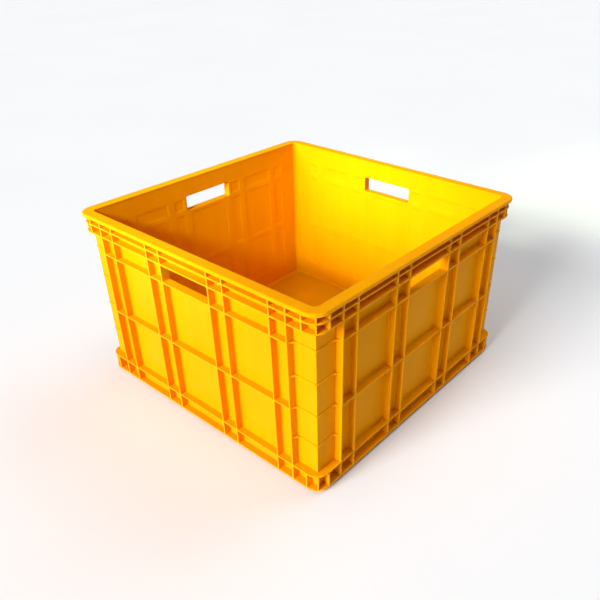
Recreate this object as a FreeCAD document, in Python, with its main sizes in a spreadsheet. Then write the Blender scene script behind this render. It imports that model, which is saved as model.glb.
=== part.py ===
import FreeCAD, Part
import math
import os
import Sketcher

# Square stacking crate, moulded in one material: four ribbed walls on four corner posts,
# a stacking rim round the top, a base ring and a floor with a stacking foot below it.
# Millimetres, +Z up, origin at the centre of the face it stands on.
# Each side is drawn as the front wall (outward is -Y) and each corner as the front
# right one, then turned about Z to its place.

DRIVING_SIZES = [
    ("crate_width", 600.0, "overall width and depth, across the rim lip"),
    ("crate_height", 360.0, "overall height, foot to rim"),
    ("draft", 0.0093, "outward lean of every wall face per mm of height"),
    ("skin_half", 276.2, "inner face of a wall from the centre, at the bottom"),
    ("skin_thickness", 2.6, "wall skin"),
    ("rib_front_half", 292.7, "front edge of the ribs from the centre, at the bottom"),
    ("rib_thickness", 3.0, "every wall rib"),
    ("root_radius", 3.0, "fillet where a rib meets the skin"),
    ("sink", 1.0, "overlap that fuses a rib into the skin"),
    ("grip_column", 79.5, "centre of the rib pair beside the hand hole"),
    ("grip_gap", 18.0, "half spacing of that pair"),
    ("end_column", 217.0, "centre of the rib pair beside the corner post"),
    ("end_gap", 17.5, "half spacing of that pair"),
    ("margin", 6.0, "skin kept beside a rib in its own column"),
    ("base_level", 8.0, "underside of the floor and of the bottom flange"),
    ("floor_thickness", 3.0, "floor and bottom flange"),
    ("ring_level", 39.0, "underside of the rib on top of the base ring"),
    ("wall_level", 48.0, "where the base ring ends and the wall begins"),
    ("middle_level", 160.7, "underside of the middle cross rib"),
    ("shelf_level", 285.7, "underside of the rib below the hand hole"),
    ("band_level", 321.2, "underside of the rim band, top of the hand hole"),
    ("band_middle", 338.5, "underside of the rib in the middle of the rim band"),
    ("corner_pitch", 62.5, "spacing of the low ribs round a corner post"),
    ("skirt_height", 7.0, "height of the outer edge of the rim lip"),
    ("flange_thickness", 3.5, "top ledge of the rim"),
    ("skirt_half", 295.7, "inner face of the lip skirt from the centre"),
    ("opening_half", 279.0, "inner edge of the rim from the centre"),
    ("lip_radius", 2.5, "rounding of the outer top edge of the lip"),
    ("edge_radius", 1.2, "rounding of the other lip edges"),
    ("lip_corner", 28.0, "plan radius of the lip at a corner"),
    ("band_corner", 24.0, "plan radius of the rim band and the base ring at a corner"),
    ("inner_corner", 9.0, "plan radius inside a corner"),
    ("cove", 6.0, "radius between floor and wall inside"),
    ("short_rib", 265.0, "short rib of the rim band and base ring near a corner"),
    ("ridge", 1.8, "how far the low corner ribs stand off the post"),
    ("ridge_sweep", 11.5, "radius that sweeps a low corner rib out to the wall rib"),
    ("ridge_corner", 6.0, "plan radius of a low corner rib at the corner"),
    ("sweep_tip", 0.4, "thickness left at the outer end of that sweep"),
    ("fin_half", 0.9, "half thickness of the diagonal fin, along X and along Y"),
    ("fin_tip", 288.4, "outer end of the diagonal fin, along X and along Y"),
    ("hole_corner", 3.0, "radius in the corners of the hand hole"),
    ("relief_depth", 1.3, "how far each bay of wall between ribs is sunk on its inner face"),
    ("relief_border", 3.0, "unsunk border between a sunk bay and the ribs round it"),
    ("relief_slope", 74.0, "slope of a sunk bay's sides, in degrees from square"),
    ("foot_half", 276.5, "outer face of the stacking foot from the centre"),
    ("foot_thickness", 3.5, "width of the foot ring"),
    ("foot_corner", 22.0, "plan radius of the foot at a corner"),
    ("grid_level", 1.0, "lowest edge of the underside ribs"),
    ("grid_pitch", 54.6, "spacing of the underside ribs"),
    ("grid_thickness", 2.5, "underside ribs"),
]
GRID_RIBS = 9
SIDES = [("front", 0), ("right", 90), ("rear", 180), ("left", 270)]
CORNERS = [("front_right", 0), ("rear_right", 90), ("rear_left", 180), ("front_left", 270)]
HANDS = [("left", -1), ("right", 1)]
# NEAR is how close two lengths count as equal. LEANING is more than an upright edge leans over
# the height of one rib. Corner pieces are drawn END_SPARE too long, then cut square. A pocket
# that removes less than LEAST_CUT cubic millimetres has missed.
NEAR = 0.02
LEANING = 0.1
END_SPARE = 3.0
LEAST_CUT = 1.0

doc = FreeCAD.newDocument("stacking_crate")
sheet = doc.addObject("Spreadsheet::Sheet", "Sizes")
for row, (alias, size, meaning) in enumerate(DRIVING_SIZES, start=1):
    sheet.set("A%d" % row, meaning)
    sheet.set("B%d" % row, repr(size))
    sheet.setAlias("B%d" % row, alias)
doc.recompute()


class Size:
    """A number together with the spreadsheet expression that gives it."""

    def __init__(self, number, text):
        self.number = number
        self.text = text

    def joined(self, sign, other, number):
        return Size(number, "(%s %s %s)" % (self.text, sign, other.text))

    def __add__(self, other):
        other = as_size(other)
        return self.joined("+", other, self.number + other.number)

    def __sub__(self, other):
        other = as_size(other)
        return self.joined("-", other, self.number - other.number)

    def __mul__(self, other):
        other = as_size(other)
        return self.joined("*", other, self.number * other.number)

    def __neg__(self):
        return self * -1.0


def as_size(value):
    return value if isinstance(value, Size) else Size(value, "(%r)" % value)


def cell(alias):
    return Size(float(sheet.get(alias)), "Sizes." + alias)


DRAFT = cell("draft")
RIB = cell("rib_thickness")
HALF_RIB = RIB * 0.5
SINK = cell("sink")
MARGIN = cell("margin")
BASE = cell("base_level")
FLOOR_TOP = BASE + cell("floor_thickness")
RING = cell("ring_level")
WALL = cell("wall_level")
MIDDLE = cell("middle_level")
SHELF = cell("shelf_level")
HOLE_BOTTOM = SHELF + RIB
BAND = cell("band_level")
BAND_MIDDLE = cell("band_middle")
TOP = cell("crate_height")
LIP_HALF = cell("crate_width") * 0.5
FLANGE_LOW = TOP - cell("flange_thickness")
SKIRT_LOW = TOP - cell("skirt_height")
SKIRT_HALF = cell("skirt_half")
OPENING_HALF = cell("opening_half")
END_FACE = cell("end_column") + cell("end_gap") + HALF_RIB
TRIM_START = END_FACE - END_SPARE
RIB_CENTRES = [cell("grip_column") - cell("grip_gap"), cell("grip_column") + cell("grip_gap"),
               cell("end_column") - cell("end_gap"), cell("end_column") + cell("end_gap")]


def skin_in(level):
    return cell("skin_half") + DRAFT * level


def skin_out(level):
    return skin_in(level) + cell("skin_thickness")


def rib_front(level):
    return cell("rib_front_half") + DRAFT * level


def bind(target, path, size):
    target.setExpression(path, as_size(size).text)


def new_body(name, turn):
    body = doc.addObject("PartDesign::Body", name)
    body.Label = name
    body.Placement = FreeCAD.Placement(FreeCAD.Vector(), FreeCAD.Rotation(FreeCAD.Vector(0, 0, 1), turn))
    return body


def origin_plane(body, role):
    return next(item for item in body.Origin.OriginFeatures if item.Role == role)


def draw_loop(sketch, corners):
    """Adds one closed outline whose corner positions are all bound to the sheet."""
    first = sketch.GeometryCount
    count = len(corners)
    points = [FreeCAD.Vector(x.number, y.number, 0) for x, y in corners]
    for i in range(count):
        sketch.addGeometry(Part.LineSegment(points[i], points[(i + 1) % count]), False)
    for i in range(count):
        sketch.addConstraint(Sketcher.Constraint("Coincident", first + i, 2, first + (i + 1) % count, 1))
    for i, corner in enumerate(corners):
        for kind, size in zip(("DistanceX", "DistanceY"), corner):
            number = sketch.addConstraint(Sketcher.Constraint(kind, -1, 1, first + i, 1, size.number))
            bind(sketch, "Constraints[%d]" % number, size)


def plan_sketch(body, name, level, loops):
    """A horizontal sketch at a height; each loop is a list of (x, y) corners."""
    sketch = body.newObject("Sketcher::SketchObject", name)
    sketch.AttachmentSupport = [(origin_plane(body, "XY_Plane"), "")]
    sketch.MapMode = "FlatFace"
    bind(sketch, "AttachmentOffset.Base.z", level)
    for corners in loops:
        draw_loop(sketch, corners)
    return sketch


def box_loop(x_low, x_high, out_low, out_high):
    """A rectangle of the front wall, given by how far out its back and front lie."""
    x_low, x_high = as_size(x_low), as_size(x_high)
    return [(x_low, -out_low), (x_high, -out_low), (x_high, -out_high), (x_low, -out_high)]


def corner_loop(inner, outer):
    """An L round the front right corner between two distances from the centre lines."""
    return [(TRIM_START, -inner), (TRIM_START, -outer), (outer, -outer),
            (outer, -TRIM_START), (inner, -TRIM_START), (inner, -inner)]


def pad_up(body, name, low, high, loops, lean=(0, 0)):
    """Pads plan outlines from one height to another, leaning outward with the draft."""
    sketch = plan_sketch(body, name + "_outline", low, loops)
    pad = body.newObject("PartDesign::Pad", name)
    pad.Profile = sketch
    bind(pad, "Length", high - low)
    if lean != (0, 0):
        pad.UseCustomVector = True
        pad.AlongSketchNormal = True
        pad.Direction = FreeCAD.Vector(lean[0] * DRAFT.number, lean[1] * DRAFT.number, 1)
        bind(pad, "Direction.x", DRAFT * lean[0])
        bind(pad, "Direction.y", DRAFT * lean[1])
    doc.recompute()
    return pad


def require_cut(body, name, volume_before):
    if body.Shape.Volume > volume_before - LEAST_CUT:
        raise RuntimeError(body.Label + ": " + name + " cuts nothing")


def cut_up(body, name, low, high, loops):
    """Pockets plan outlines from one height up to another."""
    sketch = plan_sketch(body, name + "_outline", low, loops)
    before = body.Shape.Volume
    pocket = body.newObject("PartDesign::Pocket", name)
    pocket.Profile = sketch
    pocket.Reversed = True
    bind(pocket, "Length", high - low)
    doc.recompute()
    require_cut(body, name, before)


def middle_of(edge):
    return edge.valueAt((edge.FirstParameter + edge.LastParameter) / 2)


def add_fillet(body, name, radius, edge_names):
    if not edge_names:
        raise RuntimeError(body.Label + ": no edge for " + name)
    base = body.Tip
    fillet = body.newObject("PartDesign::Fillet", name)
    fillet.Base = (base, edge_names)
    bind(fillet, "Radius", radius)
    doc.recompute()


def round_edges(body, name, radius, wanted):
    """Fillets the edges of the body so far whose end and middle points all pass a test."""
    names = []
    for number, edge in enumerate(body.Tip.Shape.Edges, start=1):
        if all(wanted(point) for point in [v.Point for v in edge.Vertexes] + [middle_of(edge)]):
            names.append("Edge%d" % number)
    add_fillet(body, name, radius, names)


def near(value, target):
    return abs(value - as_size(target).number) < NEAR


def fillet_roots(body, x_low, x_high, low, high):
    """Rounds the edges where ribs rise from the skin. An edge may end on a border of the piece
    but may not run along it."""
    names = []
    for number, edge in enumerate(body.Tip.Shape.Edges, start=1):
        middle = middle_of(edge)
        on_skin = all(near(-vertex.Y, skin_out(vertex.Z).number) for vertex in edge.Vertexes)
        within_height = low.number + NEAR < middle.z < high.number - NEAR
        within_width = x_low.number + NEAR < middle.x < x_high.number - NEAR
        if on_skin and within_height and within_width:
            names.append("Edge%d" % number)
    add_fillet(body, "root_fillets", cell("root_radius"), names)


def wall_skin(body, x_low, x_high, low, high):
    pad_up(body, "skin", low, high, [box_loop(x_low, x_high, skin_in(low), skin_out(low))], (0, -1))


def wall_cross_rib(body, name, x_low, x_high, level):
    loop = box_loop(x_low, x_high, skin_out(level) - SINK, rib_front(level))
    pad_up(body, name, level, level + RIB, [loop], (0, -1))


def wall_uprights(body, centres, low, high):
    loops = [box_loop(c - HALF_RIB, c + HALF_RIB, skin_out(low) - SINK, rib_front(low)) for c in centres]
    pad_up(body, "uprights", low, high, loops, (0, -1))


def build_column(side, turn, kind, hand, sign):
    """A strip of wall with a pair of full-height ribs, joined by two cross ribs."""
    body = new_body("%s_%s_%s_column" % (side, hand, kind), turn)
    centre = cell(kind + "_column")
    gap = cell(kind + "_gap")
    near_edge = centre - gap - HALF_RIB - MARGIN
    far_edge = END_FACE if kind == "end" else centre + gap + HALF_RIB + MARGIN
    x_low, x_high = sorted((near_edge * sign, far_edge * sign), key=lambda size: size.number)
    wall_skin(body, x_low, x_high, WALL, BAND)
    wall_uprights(body, [(centre - gap) * sign, (centre + gap) * sign], WALL, BAND)
    wall_cross_rib(body, "middle_rib", x_low, x_high, MIDDLE)
    wall_cross_rib(body, "shelf_rib", x_low, x_high, SHELF)
    if kind == "grip":
        jamb = (near_edge + MARGIN) * sign
        beyond = (near_edge - MARGIN) * sign
        notch = box_loop(beyond, jamb, skin_in(0.0) - MARGIN, rib_front(BAND) + MARGIN)
        cut_up(body, "hand_hole_side", HOLE_BOTTOM, BAND + RIB, [notch])
        round_edges(body, "hand_hole_corner", cell("hole_corner"),
                    lambda p: near(p.x, jamb) and near(p.z, HOLE_BOTTOM))
    fillet_roots(body, x_low, x_high, WALL, BAND)
    inner, outer = (centre - gap + HALF_RIB) * sign, (centre + gap - HALF_RIB) * sign
    sink_bays(body, *sorted((inner, outer), key=lambda size: size.number), BAND)
    return body


def relief_sketch(body, name, x_low, x_high, low, high):
    """A rectangle on the leaning inner face of a wall, from one height to another."""
    sketch = body.newObject("Sketcher::SketchObject", name)
    sketch.AttachmentSupport = [(origin_plane(body, "XZ_Plane"), "")]
    sketch.MapMode = "FlatFace"
    lean = FreeCAD.Rotation(FreeCAD.Vector(0, 1, 0), FreeCAD.Vector(0, 1, DRAFT.number))
    sketch.AttachmentOffset = FreeCAD.Placement(FreeCAD.Vector(0, 0, 1), lean)
    bind(sketch, "AttachmentOffset.Base.z", skin_in(0.0))
    draw_loop(sketch, [(x_low, low), (x_high, low), (x_high, high), (x_low, high)])
    return sketch


def sink_bay(body, name, x_low, x_high, low, high):
    """Sinks the inner face of one bay of wall, with sloping sides."""
    border = cell("relief_border")
    outline = (x_low + border, x_high - border, low + border, high - border)
    sketch = relief_sketch(body, name + "_outline", *outline)
    before = body.Shape.Volume
    pocket = body.newObject("PartDesign::Pocket", name)
    pocket.Profile = sketch
    pocket.Reversed = True
    bind(pocket, "Length", cell("relief_depth"))
    pocket.TaperAngle = -cell("relief_slope").number
    bind(pocket, "TaperAngle", -cell("relief_slope"))
    doc.recompute()
    require_cut(body, name, before)


def sink_bays(body, x_low, x_high, top):
    """Sinks the bays between the cross ribs; only a wall that passes the hand hole has a third."""
    sink_bay(body, "lower_relief", x_low, x_high, WALL, MIDDLE)
    sink_bay(body, "middle_relief", x_low, x_high, MIDDLE + RIB, SHELF)
    if top is BAND:
        sink_bay(body, "upper_relief", x_low, x_high, HOLE_BOTTOM, BAND)


def build_panel(side, turn, place, x_low, x_high, top):
    """A plain bay of wall between two columns, stiffened by cross ribs."""
    body = new_body("%s_%s_panel" % (side, place), turn)
    wall_skin(body, x_low, x_high, WALL, top)
    wall_cross_rib(body, "middle_rib", x_low, x_high, MIDDLE)
    wall_cross_rib(body, "shelf_rib", x_low, x_high, SHELF)
    fillet_roots(body, x_low, x_high, WALL, top)
    sink_bays(body, x_low, x_high, top)
    return body


def on_rounded_square(point, half, radius):
    """True on the outline of a centred square whose corners have a plan radius."""
    x, out = abs(point.x), abs(point.y)
    half, radius = as_size(half).number, as_size(radius).number
    centre = half - radius
    if x > centre and out > centre:
        return near(math.hypot(x - centre, out - centre), radius)
    return near(max(x, out), half)


def round_lip(body):
    """Rounds the long edges of the lip and of the mouth."""
    round_edges(body, "lip_top_round", cell("lip_radius"),
                lambda p: near(p.z, TOP) and on_rounded_square(p, LIP_HALF, cell("lip_corner")))
    round_edges(body, "skirt_round", cell("edge_radius"),
                lambda p: near(p.z, SKIRT_LOW) and on_rounded_square(p, LIP_HALF, cell("lip_corner")))
    round_edges(body, "mouth_round", cell("edge_radius"),
                lambda p: near(p.z, TOP) and on_rounded_square(p, OPENING_HALF, cell("inner_corner")))


def fill_hole_corner(body, name, x, sign):
    """Rounds an upper corner of the hand hole: a web that hangs below the band to a quarter circle."""
    radius = cell("hole_corner")
    sketch = body.newObject("Sketcher::SketchObject", name + "_outline")
    sketch.AttachmentSupport = [(origin_plane(body, "XZ_Plane"), "")]
    sketch.MapMode = "FlatFace"
    bind(sketch, "AttachmentOffset.Base.z", rib_front(BAND))
    corners = [(x - radius * sign, BAND), (x, BAND), (x, BAND - radius)]
    points = [FreeCAD.Vector(across.number, up.number, 0) for across, up in corners]
    hub = FreeCAD.Vector(points[0].x, points[2].y, 0)
    start, end = sorted((math.pi / 2, 0.0 if sign > 0 else math.pi))
    circle = Part.Circle(hub, FreeCAD.Vector(0, 0, 1), radius.number)
    sketch.addGeometry(Part.LineSegment(points[0], points[1]), False)
    sketch.addGeometry(Part.LineSegment(points[1], points[2]), False)
    sketch.addGeometry(Part.ArcOfCircle(circle, start, end), False)
    first, last = (2, 1) if sign > 0 else (1, 2)
    sketch.addConstraint(Sketcher.Constraint("Coincident", 0, 2, 1, 1))
    sketch.addConstraint(Sketcher.Constraint("Coincident", 0, 1, 2, first))
    sketch.addConstraint(Sketcher.Constraint("Coincident", 1, 2, 2, last))
    for (line, end_of_line), corner in zip(((0, 1), (0, 2), (1, 2)), corners):
        for kind, size in zip(("DistanceX", "DistanceY"), corner):
            number = sketch.addConstraint(Sketcher.Constraint(kind, -1, 1, line, end_of_line, size.number))
            bind(sketch, "Constraints[%d]" % number, size)
    number = sketch.addConstraint(Sketcher.Constraint("Radius", 2, radius.number))
    bind(sketch, "Constraints[%d]" % number, radius)
    web = body.newObject("PartDesign::Pad", name)
    web.Profile = sketch
    web.Reversed = True
    bind(web, "Length", rib_front(BAND) - skin_in(BAND))
    doc.recompute()


def build_rim_rail(side, turn):
    """The rim along one wall: stacking ledge, lip and a two-row band of small cells."""
    body = new_body(side + "_rim_rail", turn)
    pad_up(body, "lip", SKIRT_LOW, TOP, [box_loop(-END_FACE, END_FACE, OPENING_HALF, LIP_HALF)])
    cut_up(body, "lip_recess", SKIRT_LOW, FLANGE_LOW,
           [box_loop(-END_FACE, END_FACE, OPENING_HALF - MARGIN, SKIRT_HALF)])
    round_lip(body)
    wall_skin(body, -END_FACE, END_FACE, BAND, FLANGE_LOW)
    wall_uprights(body, [c * s for c in RIB_CENTRES for s in (-1, 1)], BAND, FLANGE_LOW)
    wall_cross_rib(body, "band_rib", -END_FACE, END_FACE, BAND)
    wall_cross_rib(body, "band_middle_rib", -END_FACE, END_FACE, BAND_MIDDLE)
    jamb = cell("grip_column") - cell("grip_gap") - HALF_RIB
    for hand, sign in HANDS:
        fill_hole_corner(body, hand + "_hole_corner", jamb * float(sign), float(sign))
    return body


def build_base_rail(side, turn):
    """The base ring along one wall, with the border of the floor inside it."""
    body = new_body(side + "_base_rail", turn)
    wall_skin(body, -END_FACE, END_FACE, BASE, WALL)
    pad_up(body, "floor_border", BASE, FLOOR_TOP,
           [box_loop(-END_FACE, END_FACE, END_FACE, skin_in(BASE) + SINK)])
    wall_uprights(body, [c * s for c in RIB_CENTRES for s in (-1, 1)], BASE, WALL)
    wall_cross_rib(body, "bottom_flange", -END_FACE, END_FACE, BASE)
    wall_cross_rib(body, "ring_rib", -END_FACE, END_FACE, RING)
    fillet_roots(body, -END_FACE, END_FACE, BASE, WALL)
    inner = skin_in(FLOOR_TOP)
    round_edges(body, "inner_cove", cell("cove"), lambda p: near(p.z, FLOOR_TOP) and near(-p.y, inner))
    return body


def upright_edges(level, one, other):
    """A test for the short upright edges of a corner rib, at a plan position and its mirror image
    about the corner's diagonal. Over the height of a rib they lean by less than LEANING."""
    wanted = sorted((one.number, other.number))

    def test(point):
        found = sorted((point.x, -point.y))
        at_level = level.number - NEAR < point.z < (level + RIB).number + NEAR
        return at_level and all(abs(a - b) < LEANING for a, b in zip(found, wanted))
    return test


def trim_corner(body, low, high):
    """Cuts the ends of a corner piece square, so that they meet the wall pieces."""
    far = LIP_HALF + MARGIN
    start = TRIM_START - MARGIN
    cut_up(body, "square_ends", low - SINK, high + SINK,
           [[(start, -start), (END_FACE, -start), (END_FACE, -far), (start, -far)],
            [(END_FACE, -start), (far, -start), (far, -END_FACE), (END_FACE, -END_FACE)]])


def corner_ring(body, name, level):
    """A rib wrapped round a corner at full depth, with a rounded corner."""
    pad_up(body, name, level, level + RIB, [corner_loop(skin_out(level) - SINK, rib_front(level))], (1, -1))
    corner = upright_edges(level, rib_front(level), rib_front(level))
    round_edges(body, name + "_round", cell("band_corner"), corner)


def corner_uprights(body, low, high):
    """Two short ribs and the diagonal fin of the rim band or base ring."""
    short = cell("short_rib")
    back, front = skin_out(low) - SINK, rib_front(low)
    fin = cell("fin_half")
    root = skin_out(low) - SINK * 2.0
    tip = cell("fin_tip") - (rib_front(BAND) - rib_front(low))
    loops = [box_loop(short - HALF_RIB, short + HALF_RIB, back, front),
             [(back, -short - HALF_RIB), (back, -short + HALF_RIB),
              (front, -short + HALF_RIB), (front, -short - HALF_RIB)],
             [(root + fin, -root + fin), (root - fin, -root - fin),
              (tip - fin, -tip - fin), (tip + fin, -tip + fin)]]
    pad_up(body, "uprights", low, high, loops, (1, -1))


def corner_skin(body, low, high):
    pad_up(body, "skin", low, high, [corner_loop(skin_in(low), skin_out(low))], (1, -1))
    round_edges(body, "inner_corner", cell("inner_corner"),
                lambda p: near(p.x, skin_in(0.0).number + DRAFT.number * p.z) and near(-p.y, p.x))


def build_corner_post(corner, turn):
    """The plain corner of two walls, wrapped by four low ribs that sweep out to the wall ribs."""
    body = new_body(corner + "_corner_post", turn)
    corner_skin(body, WALL, BAND)
    for count in range(4):
        level = SHELF - cell("corner_pitch") * float(count)
        name = "low_rib_%d" % (count + 1)
        back = skin_out(level) - SINK
        ridge = skin_out(level) + cell("ridge")
        front = rib_front(level)
        tip = END_FACE + cell("sweep_tip")
        loop = [(TRIM_START, -back), (TRIM_START, -front), (tip, -front), (tip, -ridge), (ridge, -ridge),
                (ridge, -tip), (front, -tip), (front, -TRIM_START), (back, -TRIM_START), (back, -back)]
        pad_up(body, name, level, level + RIB, [loop], (1, -1))
        round_edges(body, name + "_sweep", cell("ridge_sweep"), upright_edges(level, tip, ridge))
        round_edges(body, name + "_corner", cell("ridge_corner"), upright_edges(level, ridge, ridge))
    trim_corner(body, WALL, BAND)
    return body


def build_rim_corner(corner, turn):
    """The corner of the rim: rounded lip, ledge and two rows of cells with a diagonal fin."""
    body = new_body(corner + "_rim_corner", turn)
    pad_up(body, "lip", SKIRT_LOW, TOP, [corner_loop(OPENING_HALF, LIP_HALF)])
    half, mouth = LIP_HALF.number, OPENING_HALF.number
    round_edges(body, "lip_corner", cell("lip_corner"),
                lambda p: near(p.x, half) and near(-p.y, half))
    round_edges(body, "mouth_corner", cell("inner_corner"),
                lambda p: near(p.x, mouth) and near(-p.y, mouth))
    back = OPENING_HALF - MARGIN
    turn_in = SKIRT_HALF - cell("band_corner")
    cut_up(body, "lip_recess", SKIRT_LOW, FLANGE_LOW,
           [[(TRIM_START, -back), (TRIM_START, -SKIRT_HALF), (turn_in, -SKIRT_HALF), (SKIRT_HALF, -turn_in),
             (SKIRT_HALF, -TRIM_START), (back, -TRIM_START), (back, -back)]])
    round_lip(body)
    corner_skin(body, BAND, FLANGE_LOW)
    corner_ring(body, "band_rib", BAND)
    corner_ring(body, "band_middle_rib", BAND_MIDDLE)
    corner_uprights(body, BAND, FLANGE_LOW)
    trim_corner(body, BAND, TOP)
    return body


def build_base_corner(corner, turn):
    """The corner of the base ring, with the corner of the floor inside it."""
    body = new_body(corner + "_base_corner", turn)
    corner_skin(body, BASE, WALL)
    inside = skin_in(BASE) + SINK
    pad_up(body, "floor_corner", BASE, FLOOR_TOP,
           [[(END_FACE, -END_FACE), (inside, -END_FACE), (inside, -inside), (END_FACE, -inside)]])
    corner_ring(body, "bottom_flange", BASE)
    corner_ring(body, "ring_rib", RING)
    corner_uprights(body, BASE, RING + RIB)
    round_edges(body, "inner_cove", cell("cove"),
                lambda p: near(p.z, FLOOR_TOP)
                and on_rounded_square(p, skin_in(FLOOR_TOP), cell("inner_corner")))
    trim_corner(body, BASE, WALL)
    return body


def build_floor():
    """The flat middle of the floor."""
    body = new_body("floor_panel", 0)
    pad_up(body, "plate", BASE, FLOOR_TOP, [box_loop(-END_FACE, END_FACE, -END_FACE, END_FACE)])
    return body


def build_foot():
    """The ring under the floor that drops inside the rim of the crate below."""
    body = new_body("stacking_foot", 0)
    outer = cell("foot_half")
    inner = outer - cell("foot_thickness")
    pad_up(body, "block", as_size(0.0), BASE, [box_loop(-outer, outer, -outer, outer)])
    round_edges(body, "outer_corners", cell("foot_corner"),
                lambda p: near(abs(p.x), outer) and near(abs(p.y), outer))
    turn_in = inner - cell("foot_corner")
    quarter = [(inner, -turn_in), (inner, turn_in)]
    octagon = []
    for _ in range(4):
        octagon += quarter
        quarter = [(-y, x) for x, y in quarter]
    cut_up(body, "hollow", as_size(0.0), BASE, [octagon])
    return body


def build_grid():
    """Crossed ribs under the floor, inside the foot."""
    body = new_body("underside_grid", 0)
    reach = cell("foot_half") - cell("foot_thickness")
    half = cell("grid_thickness") * 0.5
    first = -(cell("grid_pitch") * ((GRID_RIBS - 1) / 2))
    level = cell("grid_level")
    length = cell("grid_pitch") * float(GRID_RIBS - 1)
    runs = {"X_Axis": box_loop(first - half, first + half, -reach, reach),
            "Y_Axis": box_loop(-reach, reach, -(first + half), -(first - half))}
    for axis, loop in runs.items():
        pad = pad_up(body, "ribs_along_" + axis[0], level, BASE, [loop])
        pattern = body.newObject("PartDesign::LinearPattern", "spread_along_" + axis[0])
        pattern.Originals = [pad]
        pattern.Direction = (origin_plane(body, axis), [""])
        bind(pattern, "Length", length)
        pattern.Occurrences = GRID_RIBS
        body.Tip = pattern
        doc.recompute()
    return body


def build_side(side, turn):
    grip_edge = cell("grip_column") - cell("grip_gap") - HALF_RIB - MARGIN
    bay_near = cell("grip_column") + cell("grip_gap") + HALF_RIB + MARGIN
    bay_far = cell("end_column") - cell("end_gap") - HALF_RIB - MARGIN
    pieces = [build_rim_rail(side, turn), build_base_rail(side, turn),
              build_panel(side, turn, "grip", -grip_edge, grip_edge, HOLE_BOTTOM),
              build_panel(side, turn, "left", -bay_far, -bay_near, BAND),
              build_panel(side, turn, "right", bay_near, bay_far, BAND)]
    for hand, sign in HANDS:
        for kind in ("grip", "end"):
            pieces.append(build_column(side, turn, kind, hand, float(sign)))
    return pieces


def build_corner(corner, turn):
    return [build_corner_post(corner, turn),
            build_rim_corner(corner, turn),
            build_base_corner(corner, turn)]


def check_document(pieces):
    for item in doc.Objects:
        if "Invalid" in item.State or "Error" in item.State:
            raise RuntimeError(item.Label + " failed: " + ", ".join(item.State))
    for piece in pieces:
        if piece.Shape.isNull() or not piece.Shape.isValid():
            raise RuntimeError(piece.Label + " has no valid shape")
        if len(piece.Shape.Solids) != 1:
            raise RuntimeError(piece.Label + " is %d solids" % len(piece.Shape.Solids))


all_pieces = [build_floor(), build_foot(), build_grid()]
for side_name, side_turn in SIDES:
    all_pieces += build_side(side_name, side_turn)
for corner_name, corner_turn in CORNERS:
    all_pieces += build_corner(corner_name, corner_turn)
doc.recompute()
check_document(all_pieces)

os.makedirs("parts", exist_ok=True)
for piece in all_pieces:
    piece.Shape.exportStep("parts/%s.step" % piece.Label)
volume = sum(piece.Shape.Volume for piece in all_pieces)
print("%d nodes, %.0f cubic centimetres" % (len(all_pieces), volume / 1000.0))
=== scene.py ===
import math

import bmesh
import bpy
from mathutils import Matrix, Vector
from mathutils.bvhtree import BVHTree


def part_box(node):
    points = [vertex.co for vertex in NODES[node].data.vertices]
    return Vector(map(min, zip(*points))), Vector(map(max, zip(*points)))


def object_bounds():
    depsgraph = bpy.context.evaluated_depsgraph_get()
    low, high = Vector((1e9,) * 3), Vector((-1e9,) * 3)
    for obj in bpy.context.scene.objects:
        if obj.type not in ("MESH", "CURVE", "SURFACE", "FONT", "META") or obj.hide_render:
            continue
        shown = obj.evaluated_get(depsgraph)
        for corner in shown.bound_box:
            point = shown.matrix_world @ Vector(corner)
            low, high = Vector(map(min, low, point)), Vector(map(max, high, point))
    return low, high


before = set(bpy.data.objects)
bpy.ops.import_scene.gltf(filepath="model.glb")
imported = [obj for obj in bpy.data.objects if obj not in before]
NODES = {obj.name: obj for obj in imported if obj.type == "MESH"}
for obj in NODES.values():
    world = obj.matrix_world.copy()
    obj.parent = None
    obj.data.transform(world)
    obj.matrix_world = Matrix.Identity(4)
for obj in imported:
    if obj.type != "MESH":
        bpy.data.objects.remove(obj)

# A square stacking crate, moulded in one golden yellow plastic. Every visible shape but the studio floor
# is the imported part's own. This script rounds its free edges, gives it its material and sets up the picture.
# Metres, +Z up, origin at the centre of the face that the crate stands on.

LOW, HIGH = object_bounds()

WELD = 1e-6
SHARP_ANGLE = math.radians(32)
SEAM_GAP = 0.00008
EDGE_ROUND = 0.00055
ROUND_SEGMENTS = 2

YELLOW = (0.87, 0.355, 0.001)
DEEP_YELLOW = (0.83, 0.312, 0.0005)
# Paler colour of the rounded edges: rubbed wear and a painted highlight along them.
EDGE_HIGHLIGHT_AND_WEAR = (0.92, 0.42, 0.006)
SCUFF = (0.93, 0.52, 0.06)
DUST = (0.60, 0.34, 0.06)
# Darker, browner colour of the inside floor: painted shade of the crate's hollow, mottled to look grimy.
FLOOR_SHADE_AND_GRIME = (0.52, 0.34, 0.003)
SHEEN_TINT = (1.0, 0.72, 0.15, 1.0)
PLASTIC_IOR = 1.49
FLOOR_GLAZE = 0.6
GLAZE_ROUGHNESS = 0.10

# Parts of the crate that wear, shine or take painted shade in their own way.
FLOOR_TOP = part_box("floor_panel")[1].z
INSIDE = HIGH.x - 0.0245
RIM_DEPTH = 0.022
BASE_HEIGHT = 0.048
FADE = 0.002


# Edges of the moulding

def edge_key(a, b):
    return tuple(sorted(tuple(round(value, 6) for value in point) for point in (a, b)))


def joined_mesh(obj):
    """The node's surface with the borders of its faces joined up."""
    mesh = bmesh.new()
    mesh.from_mesh(obj.data)
    bmesh.ops.remove_doubles(mesh, verts=mesh.verts, dist=WELD)
    return mesh


def boxes_meet(one, other):
    return all(one[0][i] - SEAM_GAP <= other[1][i] and other[0][i] - SEAM_GAP <= one[1][i] for i in range(3))


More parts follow.
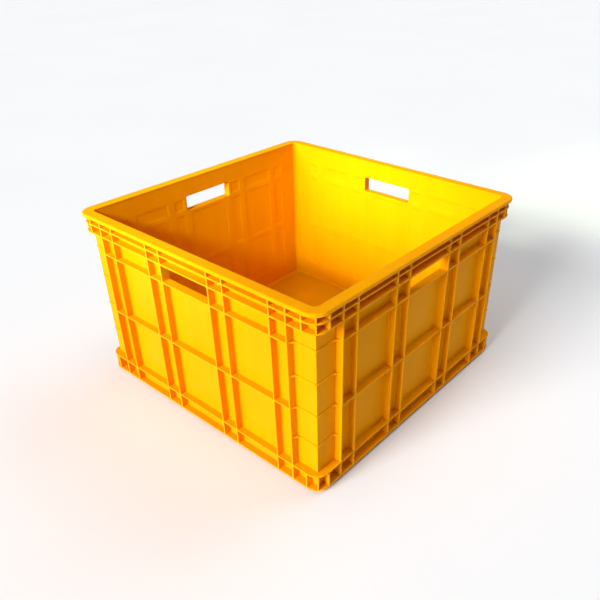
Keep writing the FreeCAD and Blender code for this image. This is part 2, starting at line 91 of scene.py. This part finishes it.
def free_edges(mesh, neighbours):
    """Keys of the convex sharp edges that don't lie against a neighbouring node."""
    found = set()
    for edge in mesh.edges:
        if len(edge.link_faces) != 2 or not edge.is_convex or edge.calc_face_angle() < SHARP_ANGLE:
            continue
        ends = [vert.co for vert in edge.verts]
        middle = (ends[0] + ends[1]) / 2
        if all(tree.find_nearest(middle, SEAM_GAP)[0] is None for tree in neighbours):
            found.add(edge_key(*ends))
    return found


def node_group(name):
    """An empty geometry node tree with its input and output sockets."""
    tree = bpy.data.node_groups.new(name, "GeometryNodeTree")
    tree.interface.new_socket("Geometry", in_out="INPUT", socket_type="NodeSocketGeometry")
    tree.interface.new_socket("Geometry", in_out="OUTPUT", socket_type="NodeSocketGeometry")
    return tree


def make_joining_tree():
    """Joins the borders of a node's faces and shades it smooth, apart from its sharp edges."""
    tree = node_group("join_faces")
    new, link = tree.nodes.new, tree.links.new
    source, sink = new("NodeGroupInput"), new("NodeGroupOutput")
    merge = new("GeometryNodeMergeByDistance")
    merge.inputs["Distance"].default_value = WELD
    plain = new("GeometryNodeRemoveAttribute")
    plain.inputs["Name"].default_value = "custom_normal"
    smooth = new("GeometryNodeSetShadeSmooth")
    sharpen = new("GeometryNodeSetShadeSmooth")
    sharpen.domain = "EDGE"
    sharpen.inputs["Shade Smooth"].default_value = False
    angle = new("GeometryNodeInputMeshEdgeAngle")
    compare = new("FunctionNodeCompare")
    compare.data_type = "FLOAT"
    compare.operation = "GREATER_THAN"
    compare.inputs[1].default_value = SHARP_ANGLE
    link(source.outputs[0], plain.inputs["Geometry"])
    link(plain.outputs[0], merge.inputs["Geometry"])
    link(merge.outputs[0], smooth.inputs["Geometry"])
    link(smooth.outputs[0], sharpen.inputs["Geometry"])
    link(angle.outputs["Unsigned Angle"], compare.inputs[0])
    link(compare.outputs[0], sharpen.inputs["Selection"])
    link(sharpen.outputs[0], sink.inputs[0])
    return tree


def round_edges(obj, keys, joining):
    """Marks the free edges and rounds them; the new faces take the node's second material."""
    data = obj.data
    weight = data.attributes.new("bevel_weight_edge", "FLOAT", "EDGE")
    points = [vert.co for vert in data.vertices]
    for edge in data.edges:
        if edge_key(*(points[i] for i in edge.vertices)) in keys:
            weight.data[edge.index].value = 1.0
    join = obj.modifiers.new("join_faces", "NODES")
    join.node_group = joining
    bevel = obj.modifiers.new("round_edges", "BEVEL")
    bevel.limit_method = "WEIGHT"
    bevel.width = EDGE_ROUND
    bevel.segments = ROUND_SEGMENTS
    bevel.use_clamp_overlap = False
    # The rounded faces take the paler edge plastic: rubbed wear and a painted highlight.
    bevel.material = 1
    normals = obj.modifiers.new("even_normals", "WEIGHTED_NORMAL")
    normals.keep_sharp = True


def round_all_edges():
    boxes = {name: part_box(name) for name in NODES}
    meshes = {name: joined_mesh(obj) for name, obj in NODES.items()}
    trees = {name: BVHTree.FromBMesh(mesh) for name, mesh in meshes.items()}
    joining = make_joining_tree()
    for name, obj in NODES.items():
        near = [trees[other] for other in NODES if other != name and boxes_meet(boxes[name], boxes[other])]
        round_edges(obj, free_edges(meshes[name], near), joining)
    for mesh in meshes.values():
        mesh.free()


# Materials

class Shader:
    """A material under construction, with short calls for the nodes that it needs."""

    def __init__(self, name):
        self.material = bpy.data.materials.new(name)
        self.material.use_nodes = True
        self.tree = self.material.node_tree
        self.surface = self.tree.nodes["Principled BSDF"]
        self.place = self.tree.nodes.new("ShaderNodeTexCoord").outputs["Object"]

    def plug(self, value, socket):
        if isinstance(value, bpy.types.NodeSocket):
            self.tree.links.new(value, socket)
        elif value is not None:
            socket.default_value = value

    def stretched(self, scale):
        node = self.tree.nodes.new("ShaderNodeMapping")
        node.inputs["Scale"].default_value = scale
        self.plug(self.place, node.inputs["Vector"])
        return node.outputs["Vector"]

    def noise(self, scale, detail=2.0, roughness=0.5, distortion=0.0, place=None):
        node = self.tree.nodes.new("ShaderNodeTexNoise")
        node.inputs["Scale"].default_value = scale
        node.inputs["Detail"].default_value = detail
        node.inputs["Roughness"].default_value = roughness
        node.inputs["Distortion"].default_value = distortion
        self.plug(place or self.place, node.inputs["Vector"])
        return node.outputs["Fac"]

    def span(self, value, low, high, to_low=0.0, to_high=1.0):
        """value from low..high spread over to_low..to_high, and held at the ends."""
        node = self.tree.nodes.new("ShaderNodeMapRange")
        node.interpolation_type = "SMOOTHSTEP"
        for socket, number in zip(node.inputs[1:5], (low, high, to_low, to_high)):
            socket.default_value = number
        self.plug(value, node.inputs["Value"])
        return node.outputs["Result"]

    def math(self, operation, a, b=None):
        node = self.tree.nodes.new("ShaderNodeMath")
        node.operation = operation
        self.plug(a, node.inputs[0])
        self.plug(b, node.inputs[1])
        return node.outputs[0]

    def mix(self, amount, a, b):
        node = self.tree.nodes.new("ShaderNodeMix")
        node.data_type = "RGBA"
        self.plug(amount, node.inputs["Factor"])
        self.plug(a if isinstance(a, bpy.types.NodeSocket) else (*a, 1.0), node.inputs["A"])
        self.plug(b if isinstance(b, bpy.types.NodeSocket) else (*b, 1.0), node.inputs["B"])
        return node.outputs["Result"]

    def bump(self, height, distance, strength=1.0, under=None):
        node = self.tree.nodes.new("ShaderNodeBump")
        node.inputs["Distance"].default_value = distance
        node.inputs["Strength"].default_value = strength
        self.plug(height, node.inputs["Height"])
        self.plug(under, node.inputs["Normal"])
        return node.outputs["Normal"]

    def set(self, **values):
        for name, value in values.items():
            self.plug(value, self.surface.inputs[name.replace("_", " ")])


def scratches(shader, scale, direction):
    """Fine broken scratches, mostly upright, in patches."""
    across = (math.cos(direction) * scale, math.sin(direction) * scale)
    lines = shader.noise(1.0, detail=3.0, distortion=0.6, place=shader.stretched((*across, scale * 0.06)))
    thin = shader.span(shader.math("ABSOLUTE", shader.math("SUBTRACT", lines, 0.5)), 0.0, 0.012, 1.0, 0.0)
    patches = shader.span(shader.noise(14.0, detail=3.0), 0.50, 0.62)
    return shader.math("MULTIPLY", thin, patches)


def zones(shader):
    """How much a point belongs to the inside floor, to the rim and to the base, each from 0 to 1."""
    part = shader.tree.nodes.new("ShaderNodeSeparateXYZ")
    shader.plug(shader.place, part.inputs[0])
    x, y, height = part.outputs
    away = shader.math("MAXIMUM", shader.math("ABSOLUTE", x), shader.math("ABSOLUTE", y))
    low = shader.span(height, FLOOR_TOP + FADE / 5, FLOOR_TOP + FADE, 1.0, 0.0)
    floor = shader.math("MULTIPLY", low, shader.span(away, INSIDE - FADE, INSIDE, 1.0, 0.0))
    rim = shader.span(height, HIGH.z - RIM_DEPTH, HIGH.z - RIM_DEPTH / 4)
    base = shader.math("SUBTRACT", shader.span(height, BASE_HEIGHT * 0.4, BASE_HEIGHT, 1.0, 0.0), floor)
    return floor, rim, base


def scuff_marks(shader, floor, rim, base, wear):
    """Scratches, up to wear strong where the crate is touched and a quarter of that elsewhere."""
    lines = shader.math("MAXIMUM", scratches(shader, 620.0, 0.7), scratches(shader, 480.0, 2.2))
    touched = shader.math("MAXIMUM", shader.math("MAXIMUM", rim, base), floor)
    return shader.math("MULTIPLY", lines, shader.span(touched, 0.0, 1.0, wear * 0.25, wear))


def plastic(name, colour, deep, roughness, wear, sheen):
    """Moulded polyolefin: fine spark-eroded grain, flow marks, slight warp, scuffs and dust, and on the inside
    floor painted shade, mottled and grimy.
    """
    shader = Shader(name)
    floor, rim, base = zones(shader)
    marks = scuff_marks(shader, floor, rim, base, wear)
    cloud = shader.noise(7.0, detail=4.0, roughness=0.55)
    flow = shader.noise(1.0, detail=3.0, distortion=0.4, place=shader.stretched((38.0, 38.0, 5.0)))
    grain = shader.noise(1500.0, detail=2.0, roughness=0.6)
    pores = shader.noise(420.0, detail=2.0)
    warp = shader.noise(9.0, detail=1.0)
    # Blotches for the dust at the base and for the painted shade on the inside floor.
    dirt_and_shade_blotches = shader.noise(22.0, detail=5.0, roughness=0.65)
    # Mask of the painted shade on the inside floor, mottled to look grimy.
    floor_shade_and_grime = shader.math("MULTIPLY", shader.span(dirt_and_shade_blotches, 0.3, 0.7, 0.35, 0.60), floor)
    film = shader.math("MULTIPLY", shader.span(dirt_and_shade_blotches, 0.45, 0.8, 0.0, 0.10), base)

    tone = shader.math("ADD", shader.span(cloud, 0.3, 0.7, 0.0, 0.55), shader.span(flow, 0.3, 0.7, 0.0, 0.45))
    tint = shader.mix(tone, colour, deep)
    tint = shader.mix(shader.span(pores, 0.35, 0.75, 0.0, 0.10), tint, deep)
    tint = shader.mix(shader.math("MULTIPLY", marks, 0.30), tint, SCUFF)
    # Painted shade on the inside floor, with grimy mottling.
    tint = shader.mix(floor_shade_and_grime, tint, FLOOR_SHADE_AND_GRIME)
    tint = shader.mix(film, tint, DUST)

    matt = shader.span(cloud, 0.25, 0.75, roughness - 0.04, roughness + 0.05)
    matt = shader.math("ADD", matt, shader.math("MULTIPLY", marks, 0.18))
    matt = shader.math("ADD", matt, shader.math("MULTIPLY", film, 0.5))

    normal = shader.bump(warp, 0.0012, 0.30)
    normal = shader.bump(flow, 0.0003, 0.25, normal)
    normal = shader.bump(grain, 0.00005, 0.40, normal)
    normal = shader.bump(marks, -0.00008, 0.5, normal)

    shader.set(Base_Color=tint, Roughness=matt, Normal=normal, IOR=PLASTIC_IOR)
    shader.set(Specular_IOR_Level=sheen, Specular_Tint=SHEEN_TINT)
    glaze = shader.math("MULTIPLY", floor, FLOOR_GLAZE)
    shader.set(Coat_Weight=glaze, Coat_Roughness=GLAZE_ROUGHNESS)
    return shader.material


def paint_crate():
    """One plastic for the whole moulding, and a paler, shinier one for its rounded edges: rubbed wear and a
    painted highlight along them.
    """
    body = plastic("moulded_plastic", YELLOW, DEEP_YELLOW, roughness=0.40, wear=0.6, sheen=0.03)
    edge = plastic("edge_highlight_and_wear_plastic", EDGE_HIGHLIGHT_AND_WEAR, YELLOW, roughness=0.34, wear=1.0, sheen=0.12)
    for obj in NODES.values():
        obj.material_slots[0].material = body
        obj.data.materials.append(edge)


# Surroundings

STUDIO_SIZE = 40.0
STUDIO_PALE = (0.87, 0.885, 0.90)
STUDIO_DIM = tuple(value * 0.985 for value in STUDIO_PALE)
SKY_STRENGTH = 0.12
INNER_LIGHT = (0.85, 1.0, 0.6)  # without its green, light turns too orange between the inner walls

SENSOR_MM = 36.0
LENS_MM = 39.0
LENS_SHIFT = (-0.0462, 0.0209)
CAMERA_PLACE = (0.8007, -0.8639, 0.8269)
CAMERA_AZIMUTH = 40.45
CAMERA_ELEVATION = 31.23
CAMERA_ROLL = -0.26


def make_studio_floor():
    half = STUDIO_SIZE / 2
    mesh = bpy.data.meshes.new("studio_floor")
    corners = [(-half, -half, LOW.z), (half, -half, LOW.z), (half, half, LOW.z), (-half, half, LOW.z)]
    mesh.from_pydata(corners, [], [(0, 1, 2, 3)])
    floor = bpy.data.objects.new("studio_floor", mesh)
    bpy.context.scene.collection.objects.link(floor)
    shader = Shader("studio_paper")
    tone = shader.span(shader.noise(1.5, detail=3.0), 0.3, 0.7, 0.0, 1.0)
    shader.set(Base_Color=shader.mix(tone, STUDIO_PALE, STUDIO_DIM), Roughness=0.9, Specular_IOR_Level=0.1)
    mesh.materials.append(shader.material)


def add_light(name, kind, power, place, target, **settings):
    """A light at a place, turned to the target."""
    data = bpy.data.lights.new(name, kind)
    data.energy = power
    for setting, value in settings.items():
        setattr(data, setting, value)
    light = bpy.data.objects.new(name, data)
    bpy.context.scene.collection.objects.link(light)
    light.visible_camera = False
    light.location = place
    light.rotation_euler = (Vector(target) - Vector(place)).to_track_quat("-Z", "Y").to_euler()


def light_studio():
    """The photograph's light: broad and low from the front, with a bright inner rear wall."""
    world = bpy.data.worlds.new("studio_air")
    world.use_nodes = True
    sky = world.node_tree.nodes["Background"]
    sky.inputs["Color"].default_value = (1.0, 1.0, 1.0, 1.0)
    sky.inputs["Strength"].default_value = SKY_STRENGTH
    bpy.context.scene.world = world
    middle = (0.0, 0.0, HIGH.z / 2)
    add_light("key", "SUN", 4.85, (-0.30, -3.0, 1.14 + HIGH.z / 2), middle, angle=math.radians(32.0))
    add_light("back_light", "SUN", 0.9, (0.3, 2.0, 2.4), middle, angle=math.radians(40.0))
    add_light("top_light", "SUN", 0.7, (0.0, -0.6, 3.0), middle, angle=math.radians(60.0))
    spot = {"color": INNER_LIGHT, "spot_blend": 1.0, "shadow_soft_size": 0.2}
    add_light("rear_wall_spot", "SPOT", 370.0, (-0.2, -1.9, 1.40), (0.0, HIGH.y, HIGH.z),
              spot_size=math.radians(16.0), **spot)
    add_light("left_wall_spot", "SPOT", 330.0, (0.4, -2.0, 1.48), (LOW.x, 0.05, HIGH.z - 0.06),
              spot_size=math.radians(13.0), **spot)


def camera_pose():
    """Where the camera stands and how it is turned; azimuth 0 is the front of the crate."""
    azimuth, elevation, roll = map(math.radians, (CAMERA_AZIMUTH, CAMERA_ELEVATION, CAMERA_ROLL))
    flat = Vector((math.sin(azimuth), -math.cos(azimuth), 0.0))
    back = flat * math.cos(elevation) + Vector((0.0, 0.0, math.sin(elevation)))
    side = Vector((0.0, 0.0, 1.0)).cross(back).normalized()
    top = back.cross(side)
    right = side * math.cos(roll) + top * math.sin(roll)
    up = top * math.cos(roll) - side * math.sin(roll)
    return Matrix.Translation(CAMERA_PLACE) @ Matrix((right, up, back)).transposed().to_4x4()


def place_camera():
    """The photograph's view, over the front right corner from a little above the crate."""
    data = bpy.data.cameras.new("camera")
    data.sensor_width = SENSOR_MM
    data.lens = LENS_MM
    data.shift_x, data.shift_y = LENS_SHIFT
    camera = bpy.data.objects.new("camera", data)
    bpy.context.scene.collection.objects.link(camera)
    camera.matrix_world = camera_pose()
    bpy.context.scene.camera = camera


round_all_edges()
paint_crate()
make_studio_floor()
light_studio()
place_camera()
bpy.context.scene.view_settings.view_transform = "Standard"
